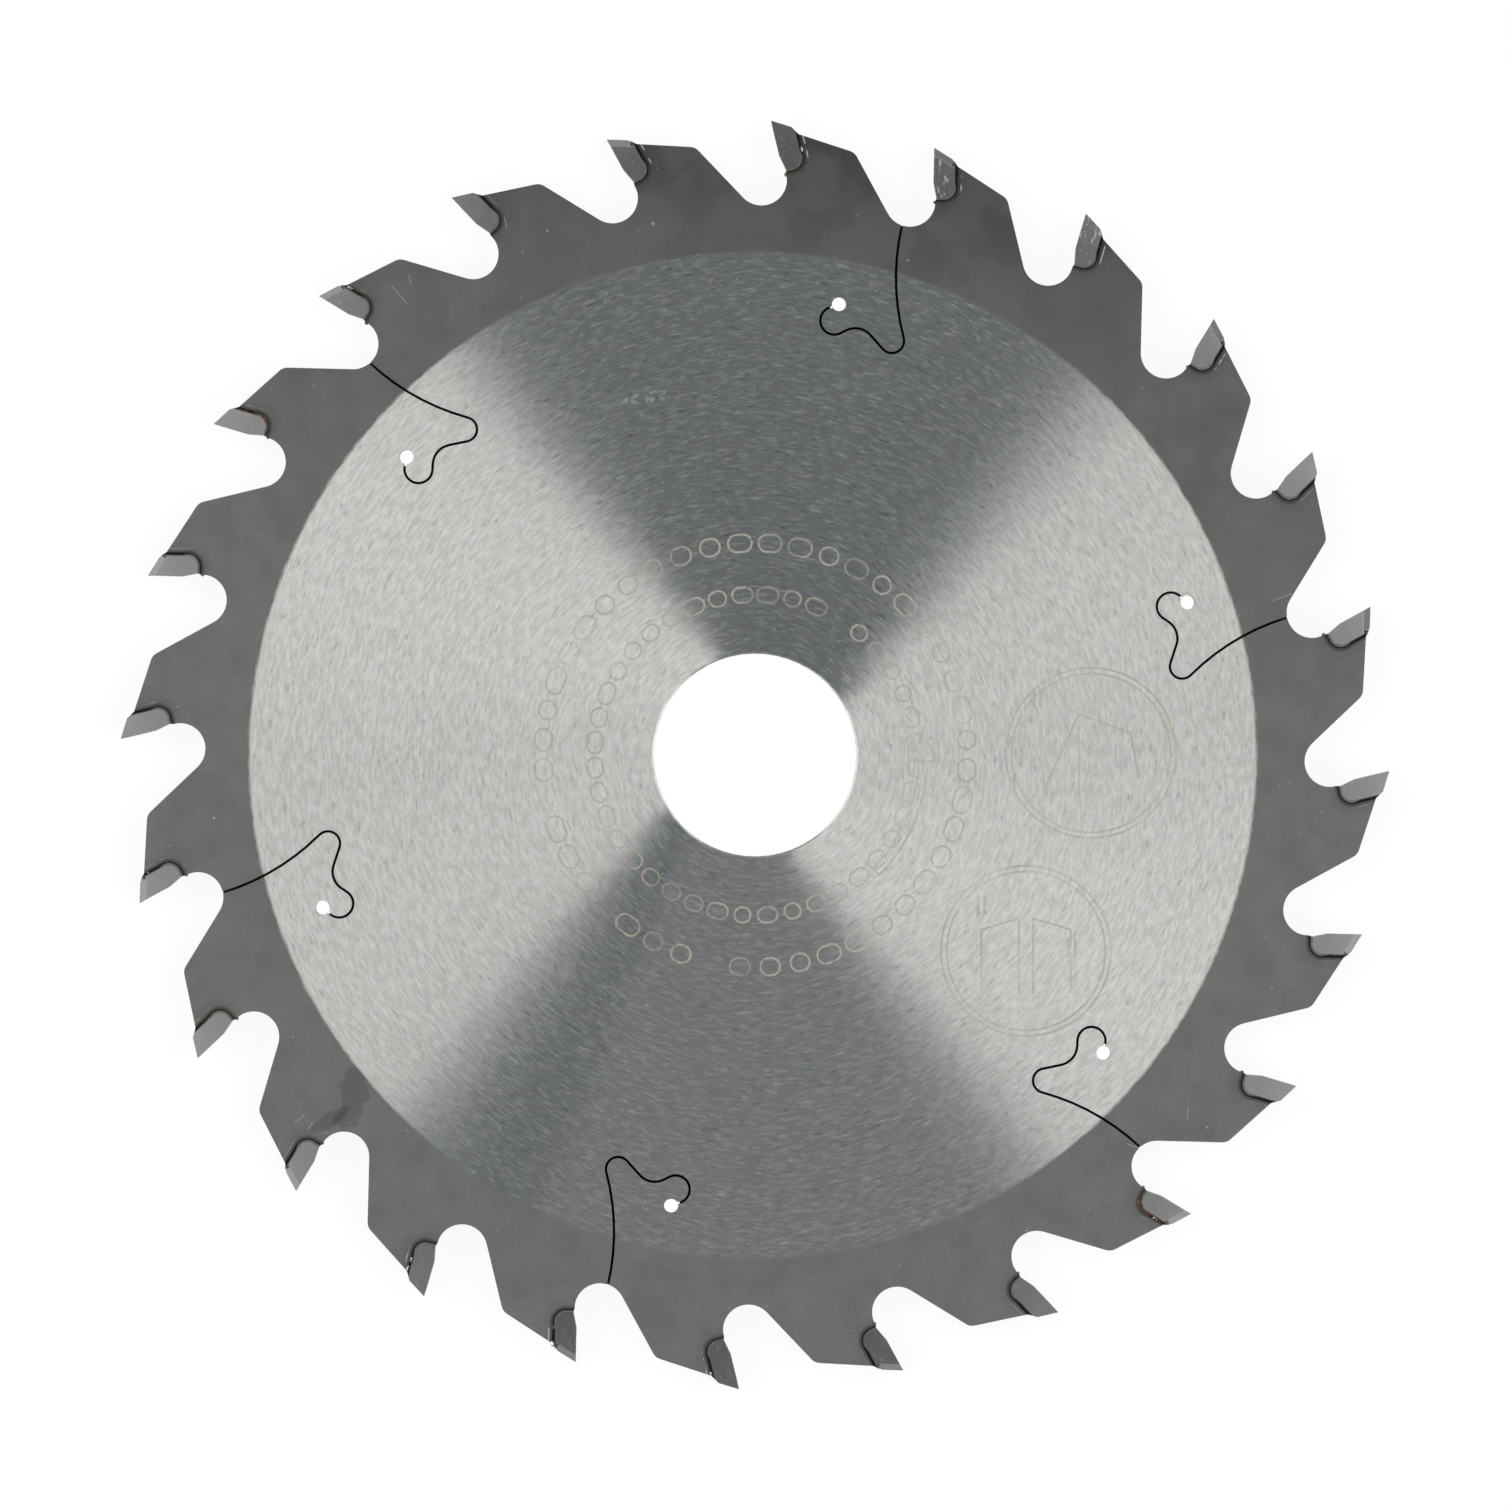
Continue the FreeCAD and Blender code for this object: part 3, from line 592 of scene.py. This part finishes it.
carbideLooks = {
    # painted light and shade: the tips' colours from most shaded to most lit
    "darkest": grey(126, (0.98, 1.0, 1.0)),
    "lightest": grey(190, (1.0, 1.01, 0.985)),
    "brightTurn": 13.65,             # the tips are painted brightest along this line, from +X
    "lightSteps": (-1.15, 0.45),
    "unevenness": 0.3,
    "grainNoise": (6.0, 3.0),
    "patchNoise": (1.1, 3.0),
    "roughness": 0.42,
    "roughnessSpread": 0.12,
    "grainDepth": 0.000006,          # in metres
    "footColour": grey(60),
    "footSteps": (-0.8, -4.5),       # heights between which a tip grows darker
    "footShare": 0.14,
    "bevelStart": (0.1, 0.2),        # steps of how much a tip's bevel faces up or down
    "bevelEnd": (0.7, 0.5),
    "sideSteps": (0.85, 0.95),       # and of a tip's side
    "bevelWidth": 0.75,              # of the bevel across a tip's top, seen from above
    # painted shade on the tips' bevels
    "bevelColour": grey(30),
    "bevelShares": (0.5, 0.38),      # of painted shade on every bevel, and more on the teeth below
    "darkBevels": (0, 20, 22),       # teeth whose bevels get more painted shade
    "edgeLine": (0.06, 0.06),        # width and soft sides of the line along a bevel
    "edgeShares": (0.12, 0.5),
    "brightEdges": (0, 2, 8, 20, 22),
    "scratchSlant": (1.6, 0.5, 1.1),
    "scratchNoise": (1.6, 2.0),
    "scratchSteps": (0.58, 0.66),
    "scratchShares": (0.06, 0.5),
    "scratchedTips": (0, 23),
    "chipSpots": (2.4, 1.0, 0.70, 0.76),
    "chipShares": (0.25, 0.5),
    "chipColour": grey(250),
}


# Painted light and shade on the tips: how bright they are painted by their place round the bore,
# each a little its own way.
def carbidePaintedLight(finish, number):
    looks = carbideLooks
    x, y = finish.turned(looks["brightTurn"])
    along = (x * x - y * y) / (x * x + y * y)
    patches = finish.noise(finish.place, *looks["patchNoise"])
    uneven = ((finish.chance(number) - 0.5) + (patches - 0.5)) * looks["unevenness"]
    return finish.step(along + uneven, *looks["lightSteps"])


# The bright line along a bevel's edge, and scratches and chips on some tips.
def carbideWear(finish, rakeX, rakeY, number, side):
    looks = carbideLooks
    slope = math.radians(tooth["topSlope"])
    drop = (rakeY + rakeX * math.tan(slope)) * math.cos(slope) + looks["bevelWidth"]
    odd = number.math("MODULO", 2.0)
    shown = finish.step((odd - 0.5) * finish.z, 0.1, -0.1)      # the bevel falls to this side
    every, more = looks["edgeShares"]
    edge = (finish.line(drop, 0.0, *looks["edgeLine"]) * shown * side
            * (every + more * finish.anyOf(number, looks["brightEdges"])))

    scratched = finish.anyOf(number, looks["scratchedTips"])
    fine, long, slant = looks["scratchSlant"]
    place = finish.vector(rakeX * fine + number, rakeY * long + rakeX * slant)
    every, more = looks["scratchShares"]
    scratches = (finish.step(finish.noise(place, *looks["scratchNoise"]), *looks["scratchSteps"])
                 * side * (every + scratched * more))
    every, more = looks["chipShares"]
    chips = finish.spots(*looks["chipSpots"]) * (every + scratched * more)
    return finish.either(edge, scratches, chips)


def makeCarbideFinish():
    looks = carbideLooks
    finish = Finish("groundCarbide")
    rakeX, rakeY, number = foldTeeth(finish)
    facing = finish.facing()
    bevel = finish.step(facing, *looks["bevelStart"]) * finish.step(facing, *looks["bevelEnd"])
    side = finish.step(facing, *looks["sideSteps"])
    grain = finish.noise(finish.place, *looks["grainNoise"])

    # painted light and shade by the tip's place round the bore
    colour = finish.blend(carbidePaintedLight(finish, number), looks["darkest"], looks["lightest"])
    foot = finish.step(rakeY, *looks["footSteps"]) * looks["footShare"]
    colour = finish.blend(foot, colour, looks["footColour"])
    # painted shade on the bevels, more on some teeth
    every, more = looks["bevelShares"]
    extraByTooth = finish.anyOf(number, looks["darkBevels"])
    colour = finish.blend(bevel * (every + extraByTooth * more), colour, looks["bevelColour"])
    colour = finish.blend(carbideWear(finish, rakeX, rakeY, number, side), colour,
                          looks["chipColour"])
    roughness = looks["roughness"] + (grain - 0.5) * looks["roughnessSpread"]
    return finish.done(finish.metal(colour, roughness, {}, grain, looks["grainDepth"]))


brazeLooks = {
    "dark": grey(42, (1.04, 1.0, 0.92)),
    "light": grey(150),              # beside the tip
    "lightSteps": (-0.2, -0.36),     # outside the seat
    "lightShare": 0.8,
    "footSpread": 0.12,              # how much wider the light part is at the foot
    "patchNoise": (1.6, 3.0),
    "amber": (0.15, 0.075, 0.033, 1),
    "amberSteps": (0.42, 0.56),      # of the patches
    "amberStart": (-1.6, -2.6),
    "amberTeeth": (5, 16),
    "amberShare": 0.85,
    "faintAmberTeeth": (1, 4, 9),
    "faintAmberShare": 0.25,
    "bright": grey(220),
    "brightSteps": (0.68, 0.74),
    "brightShare": 0.4,
    "roughness": 0.45,
    "roughnessSpread": 0.2,
    "patchDepth": 0.00004,           # in metres
}


def makeBrazeFinish():
    looks = brazeLooks
    finish = Finish("stainedBraze")
    rakeX, rakeY, number = foldTeeth(finish)
    patches = finish.noise(finish.place, *looks["patchNoise"])
    inner = (seatDistance(rakeX, rakeY)
             - finish.step(rakeY, *tooth["seatFoot"]) * looks["footSpread"])
    colour = finish.blend(finish.step(inner, *looks["lightSteps"]) * looks["lightShare"],
                          looks["dark"], looks["light"])
    extraByTooth = (finish.anyOf(number, looks["amberTeeth"]) * looks["amberShare"]
               + finish.anyOf(number, looks["faintAmberTeeth"]) * looks["faintAmberShare"])
    amber = (finish.step(patches, *looks["amberSteps"]) * extraByTooth
             * finish.step(rakeY, *looks["amberStart"]))
    colour = finish.blend(amber, colour, looks["amber"])
    bright = finish.step(patches, *looks["brightSteps"]) * looks["brightShare"]
    colour = finish.blend(bright, colour, looks["bright"])
    roughness = looks["roughness"] + patches * looks["roughnessSpread"]
    return finish.done(finish.metal(colour, roughness, {}, patches, looks["patchDepth"]))


finishes = {
    "ground_steel": makePlateFinish(),
    "carbide": makeCarbideFinish(),
    "braze": makeBrazeFinish(),
}
for subpart in frame["record"]["subparts"]:
    piece = frame["nodes"][subpart["node"]]
    piece.data.materials.clear()
    piece.data.materials.append(finishes[subpart["material_slot"]])
print("finishes on:", ", ".join(finishes))


# Small lumps of solder that were left on some seams. Places are in the rake frame and sizes are
# half lengths, both in millimetres.
solderBeads = {
    "footPlace": (0.29, -5.46),
    "footSize": (0.26, 0.19, 0.76),
    "footTeeth": (0, 1, 4, 5, 6, 8, 9, 10, 14, 15, 16, 17, 20, 21, 22),
    "backPlaces": ((4, 2.28, -2.3), (11, 2.3, -2.2), (11, 2.2, -3.1), (12, 2.3, -1.9),
                   (13, 2.3, -2.1), (16, 2.2, -2.9), (1, 2.25, -3.4)),
    "backSize": (0.15, 0.3, 0.11),
    "plateFace": 0.9,
    "sizes": (0.8, 1.15),            # least and most
    "unevenness": 0.25,
    "noiseScale": 1500,
    "noiseShift": 20,                # how far apart the beads' noises may lie
    "seed": 5,
    "solderColours": (grey(110, (1.05, 1.0, 0.9)), grey(225)),
    "solderSpots": (4.0, 2.0, 0.4, 0.6),
    "solderRoughness": 0.35,
}


# From a place in a tooth's rake frame to the blade, in metres.
def placeOnBlade(rakeX, rakeY, z, number):
    hook = math.radians(tooth["hook"])
    across = rakeX * math.cos(hook) - rakeY * math.sin(hook)
    up = rakeX * math.sin(hook) + rakeY * math.cos(hook) + tooth["reach"]
    turn = math.radians(tooth["firstTurn"]) + 2 * math.pi * number / tooth["count"]
    return Matrix.Rotation(turn, 3, "Z") @ Vector((across, up, z)) / 1000, turn + hook


def makeSolderFinish():
    finish = Finish("brightSolder")
    colour = finish.blend(finish.spots(*solderBeads["solderSpots"]),
                          *solderBeads["solderColours"])
    return finish.done(finish.metal(colour, solderBeads["solderRoughness"]))


def makeBead(name, finish, place, turn, size, chance):
    spread = solderBeads["noiseShift"]
    shape = bmesh.new()
    bmesh.ops.create_icosphere(shape, subdivisions=3, radius=0.001)
    shift = Vector((chance.random() * spread, chance.random() * spread, 0))
    for vertex in shape.verts:
        lump = noise.noise(vertex.co * solderBeads["noiseScale"] + shift)
        vertex.co *= 1 + lump * solderBeads["unevenness"]
    bmesh.ops.scale(shape, verts=shape.verts,
                    vec=Vector(size) * chance.uniform(*solderBeads["sizes"]))
    bmesh.ops.rotate(shape, verts=shape.verts, cent=(0, 0, 0),
                     matrix=Matrix.Rotation(turn, 3, "Z"))
    bmesh.ops.translate(shape, verts=shape.verts, vec=place)
    for face in shape.faces:
        face.smooth = True
    mesh = bpy.data.meshes.new(name)
    shape.to_mesh(mesh)
    shape.free()
    mesh.materials.append(finish)
    bead = bpy.data.objects.new(name, mesh)
    bpy.context.scene.collection.objects.link(bead)
    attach(bead, "root")


def makeBeads():
    chance = random.Random(solderBeads["seed"])
    for number in solderBeads["footTeeth"]:
        place, turn = placeOnBlade(*solderBeads["footPlace"], 0.0, number)
        makeBead("footBead.%02d" % (number + 1), finishes["ground_steel"], place, turn,
                 solderBeads["footSize"], chance)
    solder = makeSolderFinish()
    for order, (number, rakeX, rakeY) in enumerate(solderBeads["backPlaces"], 1):
        place, turn = placeOnBlade(rakeX, rakeY, solderBeads["plateFace"], number)
        makeBead("backBead.%02d" % order, solder, place, turn, solderBeads["backSize"], chance)
    print("solder beads:", len(solderBeads["footTeeth"]) + len(solderBeads["backPlaces"]))


# The floor is a white sheet, with painted shade under the plate and painted light below the bore
# and the relief holes. Lengths on it are in millimetres.
floorLooks = {
    "radius": 6.0,                   # of the whole sheet, in metres
    "sideCount": 128,
    "paintedShadeUnderPlate": (0.03, 0.03, 0.03, 1),     # painted shade: its near-black colour under the plate, where the slots look down on it
    "white": (1, 1, 1, 1),
    "whiteShare": 0.9,               # how much of it shows plain white round the blade
    "plateEdge": (54.2, 54.25),      # steps of reach to where it is white outside the plate
    "boreEdge": (10.6, 10.5),        # and, as painted light, inside the bore
    "holeCount": 6,                  # of the relief holes, below which it is painted light too
    "holeReach": 45.2,
    "holeTurn": 5.1,                 # of the first one, anticlockwise from +Y
    "holeEdge": (0.9, 0.85),
}


# 1 below the relief holes, where the floor is painted light.
def belowHoles(finish, reach):
    looks = floorLooks
    pitch = 2 * math.pi / looks["holeCount"]
    turn = ((0 - finish.x).math("ARCTAN2", finish.y)
            - math.radians(looks["holeTurn"]) + pitch / 2)
    turn = turn - (turn / pitch).math("FLOOR") * pitch - pitch / 2
    off = distance(reach * turn.math("SINE"), reach * turn.math("COSINE") - looks["holeReach"])
    return finish.step(off, *looks["holeEdge"])


def makeFloorFinish():
    looks = floorLooks
    finish = Finish("whiteSheet")
    reach = distance(finish.x, finish.y)
    # Below the bore and the relief holes the sheet is painted light: plain white, without the
    # plate's shadow.
    inside = finish.either(finish.step(reach, *looks["boreEdge"]), belowHoles(finish, reach))
    shown = finish.either(finish.step(reach, *looks["plateEdge"]), inside)
    rays = sum([finish.node("LightPath", output="Is %s Ray" % kind)
                for kind in ("Camera", "Glossy", "Transmission")])
    # near black under the plate as painted shade, white elsewhere
    colour = finish.blend(shown, looks["paintedShadeUnderPlate"], looks["white"])
    sheet = finish.node("BsdfDiffuse", {}, {"Color": colour})
    plain = finish.node("Emission", {}, {"Color": looks["white"], "Strength": 1.0})
    # below the bore and the holes it is wholly plain white, as painted light
    share = rays * shown * (looks["whiteShare"] + inside * (1 - looks["whiteShare"]))
    return finish.done(finish.layer(share, sheet, plain))


def makeFloor():
    mesh = bpy.data.meshes.new("paleFloor")
    shape = bmesh.new()
    bmesh.ops.create_circle(shape, cap_ends=True, segments=floorLooks["sideCount"],
                            radius=floorLooks["radius"])
    bmesh.ops.translate(shape, verts=shape.verts, vec=(0, 0, solidBox[0].z))
    shape.to_mesh(mesh)
    shape.free()
    mesh.materials.append(makeFloorFinish())
    floor = bpy.data.objects.new("paleFloor", mesh)
    bpy.context.scene.collection.objects.link(floor)


studio = {
    "photoTurn": 15.65,              # the camera's turn about the bore, in degrees
    "cameraHeight": 1.2,             # above the plate's upper face, in metres
    "halfWidth": 0.07439,            # of what the camera sees at that face
    "sensor": 36.0,
    "clip": (0.01, 20.0),
    "panelTurn": 11.65,              # where the right panels stand, in degrees from +X
    "panelLean": 26.0,               # each side has two panels, turned this far from its middle
    "panelSize": (0.98, 0.9),
    "panelDistance": 1.0,
    "panelMiddle": 0.8,              # height of a panel's middle above the floor
    "panelGlows": (3.1, 2.75),       # of the two panels on each side
    "panelColour": (1.0, 1.0, 0.98),
    "roomColour": (0.285, 0.295, 0.30, 1),
}


def makeCamera():
    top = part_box("steel_plate")[1].z
    data = bpy.data.cameras.new("photoCamera")
    data.sensor_width = studio["sensor"]
    data.lens = studio["sensor"] / 2 * studio["cameraHeight"] / studio["halfWidth"]
    data.clip_start, data.clip_end = studio["clip"]
    camera = bpy.data.objects.new("photoCamera", data)
    camera.location = (0, 0, top + studio["cameraHeight"])
    camera.rotation_euler = (0, 0, math.radians(studio["photoTurn"]))
    bpy.context.scene.collection.objects.link(camera)
    bpy.context.scene.camera = camera


def makeLights():
    lean = studio["panelLean"]
    strong, weak = studio["panelGlows"]
    for name, side, glow in (("rightPanel", -lean, strong), ("farRightPanel", lean, weak),
                             ("leftPanel", 180.0 - lean, strong),
                             ("nearLeftPanel", 180.0 + lean, weak)):
        data = bpy.data.lights.new(name, "AREA")
        data.shape = "RECTANGLE"
        data.size, data.size_y = studio["panelSize"]
        data.energy = glow * math.pi * data.size * data.size_y
        data.color = studio["panelColour"]
        panel = bpy.data.objects.new(name, data)
        turn = math.radians(studio["panelTurn"] + side)
        towards = Vector((math.cos(turn), math.sin(turn), 0))
        panel.location = towards * studio["panelDistance"] + Vector((0, 0, studio["panelMiddle"]))
        panel.rotation_euler = towards.to_track_quat("Z", "Y").to_euler()
        bpy.context.scene.collection.objects.link(panel)
    world = bpy.data.worlds.new("room")
    world.use_nodes = True
    room = world.node_tree.nodes["Background"]
    room.inputs["Color"].default_value = studio["roomColour"]
    bpy.context.scene.world = world


makeBeads()
makeFloor()
makeCamera()
makeLights()
bpy.context.scene.view_settings.view_transform = "Standard"
print("floor, camera and lights made")
